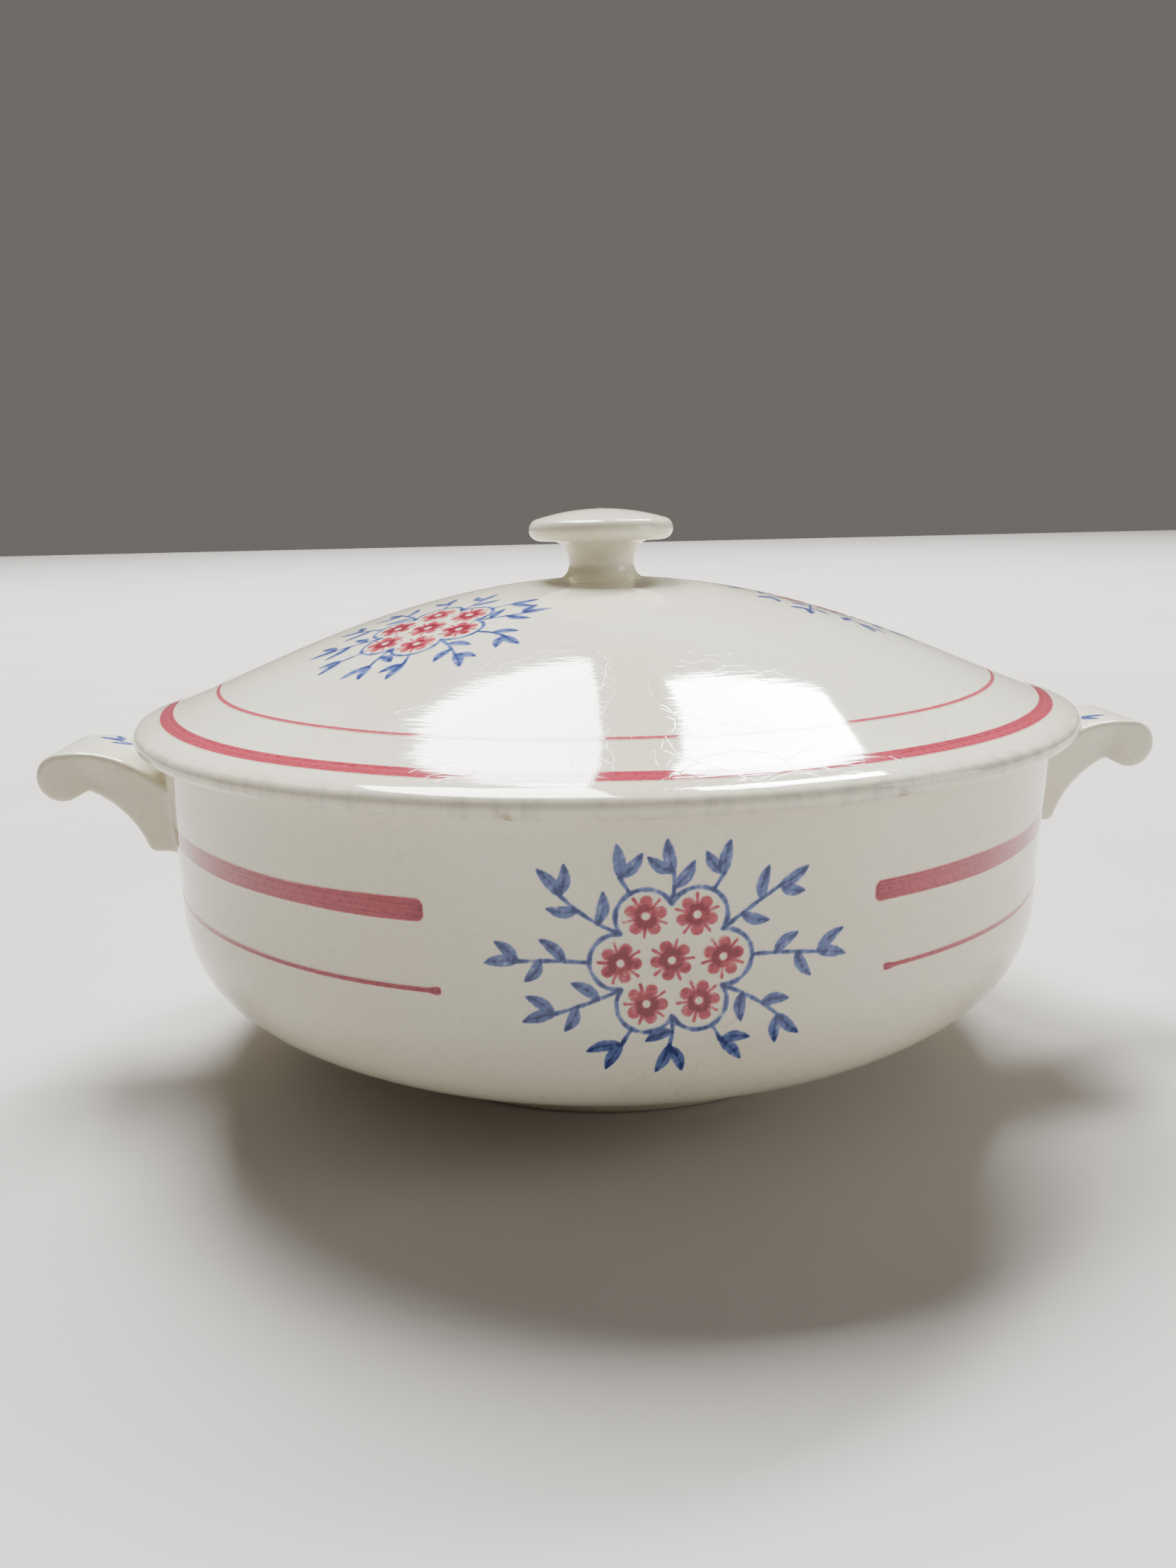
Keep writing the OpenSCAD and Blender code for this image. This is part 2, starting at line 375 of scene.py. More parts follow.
def handle_field(p):
    """Negative inside the right handle: a rounded slab with dimpled sides, filleted to the bowl's wall."""
    x, y, z = p[..., 0], p[..., 1], p[..., 2]
    side = outline_depth(OUTLINE, x, z)
    hollow = np.exp(-((x - 143.5) ** 2 + (z - 79.5) ** 2) / 30) - 0.35 * np.exp(
        -((x - CURL_X) ** 2 + (z - CURL_CENTRE[1]) ** 2) / 16)
    spread = HANDLE_SPREAD * np.clip((148 - x) / 24, 0, 1) ** 2
    half_w = HANDLE_HALF_W - 1 + spread - DIMPLE * hollow.clip(0)
    edge_a, edge_b = side + HANDLE_EDGE, np.abs(y) - half_w + HANDLE_EDGE
    slab = (np.minimum(np.maximum(edge_a, edge_b), 0)
            + np.hypot(np.maximum(edge_a, 0), np.maximum(edge_b, 0)) - HANDLE_EDGE)
    wall = np.hypot(x, y) - bowl_radius(z) + unevenness(p) + SKIN_DEPTH
    joined = smooth_union(slab, wall, FILLET)
    return np.maximum(np.maximum(joined, -wall - 1.5), slab - 4.5)


def field_gradient(field, p, h=0.02):
    parts = [field(p + np.eye(3)[k] * h) - field(p - np.eye(3)[k] * h) for k in range(3)]
    return np.stack(parts, -1) / (2 * h)


def surface_net(field, low, top, step):
    """A closed quad mesh of where the field is zero: one point in each cell that the surface crosses."""
    axes = [np.arange(low[k], top[k] + step, step) for k in range(3)]
    grid = np.stack(np.meshgrid(*axes, indexing="ij"), -1)
    value = field(grid)
    size = np.array(value.shape) - 1
    total = np.zeros(tuple(size) + (3,))
    count = np.zeros(tuple(size))
    corners = [(i, j, k) for i in (0, 1) for j in (0, 1) for k in (0, 1)]
    for a in corners:
        for axis in range(3):
            if a[axis]:
                continue
            b = tuple(c + (n == axis) for n, c in enumerate(a))
            cut_a = tuple(slice(c, c + s) for c, s in zip(a, size))
            cut_b = tuple(slice(c, c + s) for c, s in zip(b, size))
            va, vb = value[cut_a], value[cut_b]
            crosses = (va < 0) != (vb < 0)
            part = np.where(crosses, va / np.where(crosses, va - vb, 1), 0)
            spot = grid[cut_a] + part[..., None] * (grid[cut_b] - grid[cut_a])
            total += np.where(crosses[..., None], spot, 0)
            count += crosses
    used = count > 0
    number = np.full(used.shape, -1)
    number[used] = np.arange(used.sum())
    points = total[used] / count[used][:, None]
    faces = []
    for axis in range(3):
        one, two = (axis + 1) % 3, (axis + 2) % 3
        ahead = [slice(None)] * 3
        ahead[axis] = slice(1, None)
        behind = [slice(None)] * 3
        behind[axis] = slice(None, -1)
        inside_behind = value[tuple(behind)] < 0
        inside_ahead = value[tuple(ahead)] < 0
        for cell in np.argwhere(inside_behind != inside_ahead):
            quad = []
            for step_one, step_two in ((-1, -1), (0, -1), (0, 0), (-1, 0)):
                around = list(cell)
                around[one] += step_one
                around[two] += step_two
                quad.append(int(number[tuple(around)]))
            faces.append(tuple(quad) if inside_behind[tuple(cell)] else tuple(quad[::-1]))
    for _ in range(4):
        slope = field_gradient(field, points)
        move = field(points)[:, None] * slope / np.maximum((slope ** 2).sum(1, keepdims=True), 0.05)
        length = np.linalg.norm(move, axis=1, keepdims=True)
        points = points - move * np.minimum(1, 0.4 * step / np.maximum(length, 1e-9))
    return points, faces


# ------------------------------------------------------------------------------------ materials

class Graph:
    """A node tree that is written as calls."""

    def __init__(self, tree):
        self.tree = tree
        self.x = 0

    def add(self, kind, settings=None, **inputs):
        """A new node. Inputs are sockets or values; a socket's name has _ for a space, a number is i0, i1."""
        node = self.tree.nodes.new(kind)
        node.location = (self.x, 0)
        self.x += 200
        for key, value in (settings or {}).items():
            setattr(node, key, value)
        for key, value in inputs.items():
            place = int(key[1:]) if key[0] == "i" and key[1:].isdigit() else key.replace("_", " ")
            if isinstance(value, bpy.types.NodeSocket):
                self.tree.links.new(value, node.inputs[place])
            else:
                node.inputs[place].default_value = value
        return node

    def maths(self, operation, a, b=0.0, c=0.0):
        return self.add("ShaderNodeMath", {"operation": operation}, i0=a, i1=b, i2=c).outputs[0]

    def vector_maths(self, operation, a, b=(0, 0, 0)):
        return self.add("ShaderNodeVectorMath", {"operation": operation}, i0=a, i1=b).outputs[0]

    def ramp(self, value, low, top, to_low=0.0, to_top=1.0):
        """A smooth step from one value to another."""
        node = self.add("ShaderNodeMapRange", {"interpolation_type": "SMOOTHSTEP"}, Value=value)
        for key, number in (("From Min", low), ("From Max", top), ("To Min", to_low), ("To Max", to_top)):
            node.inputs[key].default_value = number
        return node.outputs["Result"]

    def blend(self, factor, a, b, mode="MIX"):
        node = self.add("ShaderNodeMix", {"data_type": "RGBA", "blend_type": mode})
        for place, value in ((0, factor), (6, a), (7, b)):
            if isinstance(value, bpy.types.NodeSocket):
                self.tree.links.new(value, node.inputs[place])
            elif place == 0:
                node.inputs[place].default_value = value
            else:
                node.inputs[place].default_value = (*value, 1)
        return node.outputs[2]

    def noise(self, vector, scale, detail=2.0, rough=0.5):
        return self.add("ShaderNodeTexNoise", Vector=vector, Scale=scale, Detail=detail,
                        Roughness=rough).outputs["Fac"]


IVORY_LIGHT = (0.82, 0.78, 0.64)
IVORY_DEEP = (0.76, 0.71, 0.55)
CRACK_TINT = (0.52, 0.47, 0.38)
SPECK_TINT = (0.33, 0.28, 0.22)
STAIN_TINT = (0.36, 0.24, 0.13)
RIM_GREY = (0.50, 0.48, 0.43)


def glaze_group():
    """Ivory glaze: soft blotches, crazing, specks, and stained crackle along the lid's rolled edge."""
    tree = bpy.data.node_groups.new("ivory_glaze", "ShaderNodeTree")
    for name, kind in (("Color", "NodeSocketColor"), ("Height", "NodeSocketFloat")):
        tree.interface.new_socket(name, in_out="OUTPUT", socket_type=kind)
    g = Graph(tree)
    place = g.add("ShaderNodeTexCoord").outputs["Object"]
    parts = g.add("ShaderNodeSeparateXYZ", Vector=place)
    flat = g.vector_maths("MULTIPLY", place, (1, 1, 0))
    radius = g.add("ShaderNodeVectorMath", {"operation": "LENGTH"}, i0=flat).outputs["Value"]
    heading = g.vector_maths("NORMALIZE", flat)

    colour = g.blend(g.ramp(g.noise(place, 14, 3), 0.35, 0.65), IVORY_LIGHT, IVORY_DEEP)
    specks = g.maths("MULTIPLY", g.ramp(g.noise(place, 420, 2), 0.45, 0.75), 0.07)
    colour = g.blend(specks, colour, SPECK_TINT)

    bent = g.vector_maths("MULTIPLY_ADD", g.add("ShaderNodeTexNoise", Vector=place, Scale=45.0,
                                                Detail=2.0).outputs["Color"], (0.012, 0.012, 0.012))
    tree.links.new(place, bent.node.inputs[2])
    cracks = None
    for scale, width, strength in ((95.0, 0.018, 0.42), (210.0, 0.022, 0.26)):
        edge = g.add("ShaderNodeTexVoronoi", {"feature": "DISTANCE_TO_EDGE"}, Vector=bent,
                     Scale=scale).outputs["Distance"]
        line = g.ramp(edge, 0.0, width, 1.0, 0.0)
        here = g.ramp(g.noise(place, 24 + scale / 20, 2), 0.42, 0.66)
        line = g.maths("MULTIPLY", g.maths("MULTIPLY", line, here), strength)
        cracks = line if cracks is None else g.maths("MAXIMUM", cracks, line)
    colour = g.blend(cracks, colour, CRACK_TINT)

    dots = g.add("ShaderNodeTexVoronoi", Vector=place, Scale=90.0)
    dot = g.ramp(dots.outputs["Distance"], 0.02, 0.05, 1.0, 0.0)
    rare = g.ramp(g.add("ShaderNodeSeparateColor", Color=dots.outputs["Color"]).outputs[0], 0.90, 0.92)
    colour = g.blend(g.maths("MULTIPLY", g.maths("MULTIPLY", dot, rare), 0.55), colour, SPECK_TINT)

    on_edge = g.maths("MULTIPLY", g.ramp(radius, 0.1262, 0.1285), g.ramp(parts.outputs["Z"], 0.0885, 0.0900))
    ticks = g.add("ShaderNodeCombineXYZ",
                  X=g.maths("MULTIPLY", parts.outputs["X"], 260),
                  Y=g.maths("MULTIPLY", parts.outputs["Y"], 260),
                  Z=g.maths("MULTIPLY", parts.outputs["Z"], 60)).outputs[0]
    grey = g.ramp(g.noise(ticks, 1.0, 3, 0.6), 0.42, 0.72)
    colour = g.blend(g.maths("MULTIPLY", g.maths("MULTIPLY", grey, on_edge), 0.6), colour, RIM_GREY)
    low_edge = g.ramp(parts.outputs["Z"], 0.0920, 0.0955, 1.0, 0.0)
    stain = g.maths("MULTIPLY", g.ramp(g.noise(place, 130, 3, 0.6), 0.60, 0.70), on_edge)
    colour = g.blend(g.maths("MULTIPLY", g.maths("MULTIPLY", stain, low_edge), 0.7), colour, STAIN_TINT)

    run = g.maths("SUBTRACT", radius, parts.outputs["Z"])
    ripple_place = g.add("ShaderNodeVectorMath", {"operation": "MULTIPLY_ADD"}, i0=heading, i1=(6, 6, 6))
    ripple_shift = g.add("ShaderNodeCombineXYZ", Z=g.maths("MULTIPLY", run, 650)).outputs[0]
    tree.links.new(ripple_shift, ripple_place.inputs[2])
    ripple = g.noise(ripple_place.outputs[0], 1.0, 2, 0.5)
    soft = g.noise(place, 55, 2)
    height = g.maths("MULTIPLY_ADD", ripple, 0.1, g.maths("MULTIPLY", soft, 0.35))
    height = g.maths("SUBTRACT", height, g.maths("MULTIPLY", cracks, 0.08))

    out = g.add("NodeGroupOutput")
    tree.links.new(colour, out.inputs["Color"])
    tree.links.new(height, out.inputs["Height"])
    return tree


GLAZE_ROUGHNESS = 0.05
BUMP_HEIGHT = 0.0002


def new_material(name):
    material = bpy.data.materials.new(name)
    material.use_nodes = True
    material.node_tree.nodes.clear()
    return material, Graph(material.node_tree)


def finish_glossy(g, colour, height):
    """The glossy shader that all glazed surfaces share."""
    bump = g.add("ShaderNodeBump", Height=height, Strength=1.0, Distance=BUMP_HEIGHT)
    shader = g.add("ShaderNodeBsdfPrincipled", Base_Color=colour, Roughness=GLAZE_ROUGHNESS,
                   Normal=bump.outputs["Normal"])
    g.add("ShaderNodeOutputMaterial", Surface=shader.outputs[0])


def glaze_material(group):
    material, g = new_material("ivory_glaze")
    base = g.add("ShaderNodeGroup", {"node_tree": group})
    finish_glossy(g, base.outputs["Color"], base.outputs["Height"])
    return material


def paint_material(name, group, pale, mid, dark):
    """Painted colour under the same glaze. The ink attribute says how thick the paint is at each point."""
    material, g = new_material(name)
    base = g.add("ShaderNodeGroup", {"node_tree": group})
    ink = g.add("ShaderNodeAttribute", {"attribute_name": "ink"}).outputs["Fac"]
    place = g.add("ShaderNodeTexCoord").outputs["Object"]
    grain = g.maths("MULTIPLY_ADD", g.noise(place, 900, 3, 0.6), 0.5, -0.25)
    thick = g.maths("ADD", ink, g.maths("MULTIPLY", grain, g.ramp(ink, 0.05, 0.4)))
    tone = g.blend(g.ramp(thick, 0.25, 0.6), pale, mid)
    tone = g.blend(g.ramp(thick, 0.6, 1.0), tone, dark)
    colour = g.blend(g.ramp(thick, 0.02, 0.42), base.outputs["Color"], tone)
    finish_glossy(g, colour, base.outputs["Height"])
    return material


def clay_material():
    """Dry fired earthenware, a little darker over its lowest two millimetres."""
    material, g = new_material("bare_clay")
    place = g.add("ShaderNodeTexCoord").outputs["Object"]
    height = g.add("ShaderNodeSeparateXYZ", Vector=place).outputs["Z"]
    colour = g.blend(g.ramp(g.noise(place, 60, 4), 0.35, 0.7), (0.66, 0.58, 0.46), (0.56, 0.48, 0.36))
    colour = g.blend(g.maths("MULTIPLY", g.ramp(g.noise(place, 900, 3), 0.5, 0.75), 0.4), colour,
                     (0.36, 0.29, 0.20))
    # the foot is made darker over its lowest two millimetres, where it meets the floor
    foot_base_darkening = g.maths("MULTIPLY", g.ramp(height, 0.0, 0.002, 1.0, 0.0), 0.5)
    colour = g.blend(foot_base_darkening, colour, (0.30, 0.25, 0.18))
    bump = g.add("ShaderNodeBump", Height=g.noise(place, 1400, 4, 0.6), Strength=1.0, Distance=0.00015)
    shader = g.add("ShaderNodeBsdfPrincipled", Base_Color=colour, Roughness=0.8,
                   Normal=bump.outputs["Normal"])
    g.add("ShaderNodeOutputMaterial", Surface=shader.outputs[0])
    return material


GLAZE_GROUP = glaze_group()
GLAZE = glaze_material(GLAZE_GROUP)
RED = paint_material("red_paint", GLAZE_GROUP, (0.60, 0.22, 0.22), (0.44, 0.055, 0.085), (0.20, 0.012, 0.03))
BLUE = paint_material("blue_paint", GLAZE_GROUP, (0.30, 0.35, 0.50), (0.10, 0.14, 0.34), (0.022, 0.035, 0.14))
CLAY = clay_material()


# ------------------------------------------------------------------------- solid ceramic pieces

def add_turned(name, profile, material, body, node, closed_ring=False):
    points, faces = revolve(profile, closed_ring)
    return new_object(name, points, faces, material, body, [node])


def add_handles():
    low = (HANDLE_ROOT_R, -HANDLE_HALF_W - 6, HEEL_CENTRE[1] - HEEL_R - 6)
    top = (HANDLE_REACH + 1.5, HANDLE_HALF_W + 6, HANDLE_TOP_Z + 6)
    points, faces = surface_net(handle_field, low, top, 0.75)
    new_object("scroll_handle_right", points, faces, GLAZE, "dish", ["handle_right"], 80)
    mirrored = points * (-1, 1, 1)
    new_object("scroll_handle_left", mirrored, [f[::-1] for f in faces], GLAZE, "dish",
               ["handle_left"], 80)


add_turned("bowl_shell", bowl_profile(), GLAZE, "dish", "bowl")
add_turned("foot_ring_clay", foot_profile(), CLAY, "dish", "foot_ring", closed_ring=True)
add_turned("lid_dome", lid_profile(), GLAZE, "cover", "lid")
add_turned("collar_ring", collar_profile(), GLAZE, "cover", "lid_collar", closed_ring=True)
add_turned("knob_disc", knob_profile(), GLAZE, "cover", "knob")
add_handles()


# ------------------------------------------------------------------------- painted decoration

PAINT_LIFT = {"red_paint": 0.055, "blue_paint": 0.04}
PAINT_SINK = 0.06
PAINT_STEP = 0.36
FEATHER = 0.22


def cut_sheet(u, v, depth):
    """Polygons of the part of a grid where depth is above zero: flat points and faces."""
    inside = depth > 0
    any_in = inside[:-1, :-1] | inside[1:, :-1] | inside[1:, 1:] | inside[:-1, 1:]
    points, number, faces = [], {}, []

    def corner(i, j):
        if (i, j) not in number:
            number[i, j] = len(points)
            points.append((u[i], v[j]))
        return number[i, j]

    def cut(a, b):
        key = (a, b) if a < b else (b, a)
        if key not in number:
            (i, j), (k, m) = key
            part = depth[i, j] / (depth[i, j] - depth[k, m])
            part = min(max(part, 0.12), 0.88)
            number[key] = len(points)
            points.append((u[i] + (u[k] - u[i]) * part, v[j] + (v[m] - v[j]) * part))
        return number[key]

    for i, j in np.argwhere(any_in).tolist():
        around = [(i, j), (i + 1, j), (i + 1, j + 1), (i, j + 1)]
        ring = []
        for a, b in zip(around, around[1:] + around[:1]):
            if inside[a]:
                ring.append(corner(*a))
            if inside[a] != inside[b]:
                ring.append(cut(a, b))
        faces.append(ring)
    return np.array(points), faces


def painted_object(name, flat, faces, place, ink, material, body, slot):
    """A thin closed piece of paint that lies on a surface: flat points are put in place, with their ink."""
    points, normals = place(flat[:, 0], flat[:, 1])
    top = sink(points, normals, PAINT_LIFT[slot])
    low = sink(points, normals, -PAINT_SINK)
    count = len(flat)
    edges = {}
    for ring in faces:
        for a, b in zip(ring, ring[1:] + ring[:1]):
            edges[a, b] = True
    walls = [(b, a, a + count, b + count) for a, b in edges if (b, a) not in edges]
    under = [[n + count for n in ring[::-1]] for ring in faces]
    piece = new_object(name, np.vstack([top, low]), faces + under + walls, material, body,
                       smooth_angle=30)
    layer = piece.data.attributes.new("ink", "FLOAT", "POINT")
    layer.data.foreach_set("value", np.clip(np.concatenate([ink, ink]), 0, 1).astype(np.float32))
    return piece


class Brush:
    """Collects strokes: for any points it gives how far they lie inside the paint, and how thick it is."""

    def __init__(self, seed):
        self.marks = []
        rng = np.random.default_rng(seed)
        self.rng = rng
        self.waves = [(rng.normal(size=2) * rng.uniform(0.6, 3.2), rng.uniform(0, FULL_TURN))
                      for _ in range(14)]

    def mottle(self, p):
        """Uneven wash, about -1 to 1."""
        return sum(np.sin(p @ wave + phase) for wave, phase in self.waves) / 4

    def line(self, route, width, ink, taper=0.0):
        self.marks.append(("line", np.array(route, float), width, ink, taper))

    def leaf(self, base, tip, width, bend=0.0, side=0.0):
        self.marks.append(("leaf", np.array([base, tip], float), width, bend, side))

    def petal(self, centre, radius, ink):
        self.marks.append(("petal", np.array([centre], float), radius, ink, None))

    def hole(self, centre, radius):
        self.marks.append(("hole", np.array([centre], float), radius, 0, None))

    def paint(self, p):
        """(depth, ink) at points p, shape (..., 2)."""
        depth = np.full(p.shape[:-1], -9.0)
        ink = np.zeros(p.shape[:-1])
        for kind, route, width, third, fourth in self.marks:
            reach = width + abs(third if kind == "leaf" else 0) + 1.5
            near = ((p > route.min(0) - reach) & (p < route.max(0) + reach)).all(-1)
            if not near.any():
                continue
            q = p[near]
            if kind == "hole":
                inner = np.hypot(*(q - route[0]).T) - width
                depth[near] = np.minimum(depth[near], inner)
                continue
            if kind == "line":
                new_depth, new_ink = stroke_paint(q, route, width, third, fourth)
            elif kind == "leaf":
                new_depth, new_ink = leaf_paint(q, route, width, third, fourth)
            else:
                new_depth, new_ink = petal_paint(q, route[0], width, third)
            ink[near] = np.where(new_depth > -FEATHER, np.maximum(ink[near], new_ink), ink[near])
            depth[near] = np.maximum(depth[near], new_depth)
        wash = ink * (1 + 0.22 * self.mottle(p))
        fade = np.clip((depth + FEATHER) / (2 * FEATHER), 0, 1)
        return depth + FEATHER, wash * fade


def smooth_route(route, steps=6):
    """A curve through the points (Catmull-Rom)."""
    if len(route) < 3:
        return route
    ends = np.vstack([2 * route[0] - route[1], route, 2 * route[-1] - route[-2]])
    t = np.linspace(0, 1, steps, endpoint=False)[:, None]
    parts = []
    for a, b, c, d in zip(ends, ends[1:], ends[2:], ends[3:]):
        parts.append(0.5 * (2 * b + (c - a) * t + (2 * a - 5 * b + 4 * c - d) * t ** 2
                            + (3 * b - a - 3 * c + d) * t ** 3))
    return np.vstack(parts + [route[-1:]])


def stroke_paint(q, route, width, ink, taper):
    """A brush line along a route; taper thins it towards its end."""
    curve = smooth_route(route)
    lengths = np.r_[0, np.cumsum(np.linalg.norm(np.diff(curve, axis=0), axis=1))]
    best = np.full(len(q), 1e9)
    along = np.zeros(len(q))
    for k, (a, b) in enumerate(zip(curve, curve[1:])):
        step = b - a
        part = np.clip((q - a) @ step / max(step @ step, 1e-9), 0, 1)
        away = np.linalg.norm(q - a - part[:, None] * step, axis=1)
        closer = away < best
        best = np.where(closer, away, best)
        along = np.where(closer, lengths[k] + part * (lengths[k + 1] - lengths[k]), along)
    share = along / lengths[-1]
    half = width / 2 * (1 - taper * share) * (1 + 0.12 * np.sin(along * 1.3 + route[0, 0]))
    ends = 0.16 * (np.exp(-along) + np.exp(along - lengths[-1]))
    tone = ink * (0.9 + 0.18 * np.sin(along * 0.9 + route[0, 1])) + ends
    return half - best, tone - 0.15 * (best / half) ** 2


def leaf_paint(q, ends, width, bend, side):
    """A pointed leaf: pale wash, dark vein that bends, and darker rim and ends."""
    base, tip = ends
    axis = tip - base
    length = np.linalg.norm(axis)
    axis = axis / length
    across = np.array([-axis[1], axis[0]])
    part = (q - base) @ axis / length
    inner = part.clip(0, 1)
    off = (q - base) @ across - 4 * bend * inner * (1 - inner)
    half = 0.88 * width / 2 * np.sin(math.pi * inner ** 0.85) ** 0.75 + 0.2
    shifted = off - side * half * 0.6
    outside = np.maximum(np.maximum(-part, part - 1) * length, 0)
    depth = half - np.hypot(shifted, outside)
    vein = np.exp(-(off / 0.34) ** 2)
    rim = np.exp(-(depth / 0.35) ** 2)
    ends_tone = np.exp(-inner * length / 1.2) + np.exp(-(1 - inner) * length / 1.4)
    return depth, 0.54 + 0.34 * vein + 0.16 * rim + 0.25 * ends_tone


def petal_paint(q, centre, radius, ink):
    """A round dab of wash with a slightly darker rim."""
    away = np.hypot(*(q - centre).T)
    depth = radius - away
    return depth, ink + 0.14 * np.exp(-(depth / 0.4) ** 2)


BLOSSOM_PETALS = 5
PETAL_DISTANCE = 3.2
PETAL_R = 1.35
SEPAL_DISTANCE = 4.6


def blossom(brush, centre, size):
    """Round petals, finger strokes between them, a dark ring and a bare middle, turned by chance."""
    step = 360 / BLOSSOM_PETALS
    start = brush.rng.uniform(0, step)
    for number in range(BLOSSOM_PETALS):
        angle = start + number * step
        between = angle + step / 2
        petal = on_circle(centre, size * PETAL_DISTANCE, angle)
        brush.petal(petal, size * PETAL_R, 0.52)
        brush.line([on_circle(centre, 1.2, angle), petal], 2 * size, 0.62)
        brush.line([on_circle(centre, 2 * size, between), on_circle(centre, size * SEPAL_DISTANCE, between)],
                   0.7 * size, 0.66)
    eye_r = 1.7 * size
    for angle in range(0, 360, 30):
        brush.line([on_circle(centre, eye_r, angle), on_circle(centre, eye_r, angle + 30)], eye_r, 0.9)
    brush.hole(centre, 0.9 * size)


# A motif is a plain rosette: one blossom in a ring of others, a line that goes round them in equal lobes, and
# a sprig from the middle of each lobe and from each corner between two lobes.
RING_BLOSSOMS = 6
RING_R = 11
LOBE_R = 6.2
LEAF_EVERY = 4.6
LEAF_LENGTH = 7
LEAF_WIDTH = 2.6
LEAF_SPREAD = 48
STEM_BOW = 30
SPRIG_LEAN = 8
HAND_SHAKE = 0.4


def shaken(brush, point, amount):
    """A point moved a little, as a hand does."""
    return tuple(np.array(point) + brush.rng.uniform(-amount, amount, 2))


def draw_sprig(brush, base, heading, length, size):
    """A bowed stem with leaves on alternate sides and one at its end."""
    bow = brush.rng.uniform(-STEM_BOW, STEM_BOW)
    count = max(1, round(length / LEAF_EVERY))
    stem = [base]
    for number in range(count):
        stem.append(on_circle(stem[-1], length / count, heading + bow * number / count))
    brush.line(stem, 0.9 * size, 0.88)
    side = brush.rng.choice([-1, 1])
    for joint in stem[1:]:
        side = -side
        reach = LEAF_LENGTH * brush.rng.uniform(0.8, 1.1)
        brush.leaf(joint, on_circle(joint, reach, heading + bow + side * LEAF_SPREAD), LEAF_WIDTH, 0.5 * side)
    brush.leaf(stem[-1], on_circle(stem[-1], LEAF_LENGTH, heading + bow), LEAF_WIDTH, 0.3 * side)


def draw_motif(reach, size, seed):
    """The red blossoms, and the blue line round them with its sprigs, as two brushes."""
    red, blue = Brush(seed), Brush(seed + 1)
    blossom(red, (0, 0), size)
    step = 360 / RING_BLOSSOMS
    half_gap = RING_R * math.sin(math.radians(step / 2))
    lobe_half_angle = 90 + step / 2 - math.degrees(math.acos(half_gap / LOBE_R))
    corner_r = RING_R * math.cos(math.radians(step / 2)) + math.sqrt(LOBE_R ** 2 - half_gap ** 2)
    for number in range(RING_BLOSSOMS):
        angle = number * step
        centre = on_circle((0, 0), RING_R, angle)
        blossom(red, shaken(red, centre, HAND_SHAKE), size)
        turns = np.linspace(-lobe_half_angle, lobe_half_angle, 9)
        blue.line([on_circle(centre, LOBE_R, angle + turn) for turn in turns], 1.05 * size, 0.86)
        for start_r, heading in ((RING_R + LOBE_R, angle), (corner_r, angle + step / 2)):
            way = math.radians(heading)
            limit = 1 / math.hypot(math.cos(way) / reach[0], math.sin(way) / reach[1])
            length = max(2, limit - start_r - 0.8 * LEAF_LENGTH)
            lean = blue.rng.uniform(-SPRIG_LEAN, SPRIG_LEAN)
            draw_sprig(blue, on_circle((0, 0), start_r, heading), heading + lean, length, size)
    return red, blue


FRONT = math.radians(-88)
PAINT_RADIUS = 122
MOTIF_Z = 60


def on_bowl(angle, centre_z):
    """Where (u, v) lies on the bowl's outside: u to the right along the wall, v up."""
    def place(u, v):
        z = centre_z + v
        slope = (bowl_radius(z + 0.05) - bowl_radius(z - 0.05)) / 0.1
        return turned_points(bowl_radius(z), z, np.ones_like(z), -slope, angle + u / PAINT_RADIUS)
    return place


def on_dome(centre, turn, scale):
    """Where (u, v) lies on the lid: u and v are turned and scaled about a centre, seen from above."""
    def place(u, v):
        cos_t, sin_t = math.cos(turn) * scale, math.sin(turn) * scale
        x = centre[0] + u * cos_t - v * sin_t
        y = centre[1] + u * sin_t + v * cos_t
        r = np.hypot(x, y)
        slope = (dome_height(r + 0.05) - dome_height(r - 0.05)) / 0.1
        return turned_points(r, dome_height(r), -slope, np.ones_like(r), np.arctan2(y, x))
    return place


def add_painting(name, brush, place, box, material, body, slot, step=PAINT_STEP):
    (u0, v0), (u1, v1) = box
    u = np.arange(u0, u1 + step, step)
    v = np.arange(v0, v1 + step, step)
    depth, _ = brush.paint(np.stack(np.meshgrid(u, v, indexing="ij"), -1))
    flat, faces = cut_sheet(u, v, depth)
    ink = brush.paint(flat)[1]
    return painted_object(name, flat, faces, place, ink, material, body, slot)


FLOWERS_HALF = RING_R + 7
LEAVES_MARGIN = 5


def add_motif(name, reach, size, seed, place, body):
    red, blue = draw_motif(reach, size, seed)
    flowers_box = ((-FLOWERS_HALF, -FLOWERS_HALF), (FLOWERS_HALF, FLOWERS_HALF))
    half_u, half_v = reach[0] + LEAVES_MARGIN, reach[1] + LEAVES_MARGIN
    leaves_box = ((-half_u, -half_v), (half_u, half_v))
    add_painting(name + "_flowers", red, place, flowers_box, RED, body, "red_paint")
    add_painting(name + "_leaves", blue, place, leaves_box, BLUE, body, "blue_paint")


BOWL_REACH = (38, 25)
LID_REACH = (32, 27)
LID_MOTIF_SIZE = 1.05

add_motif("bowl_front", BOWL_REACH, 1, 3, on_bowl(FRONT, MOTIF_Z), "dish")
add_motif("bowl_back", BOWL_REACH, 1, 21, on_bowl(FRONT + math.pi, MOTIF_Z), "dish")
for spot_name, spot_x, spot_y, spot_turn, spot_seed in (
        ("lid_left", -47.5, -39.0, -42.4, 5), ("lid_right", 61.0, 2.0, 105.6, 8),
        ("lid_back", -18.0, 58.5, 205.0, 12)):
    add_motif(spot_name, LID_REACH, LID_MOTIF_SIZE, spot_seed,
              on_dome((spot_x, spot_y), math.radians(spot_turn), 1), "cover")


# -------------------------------------------------------------------------------- painted bands

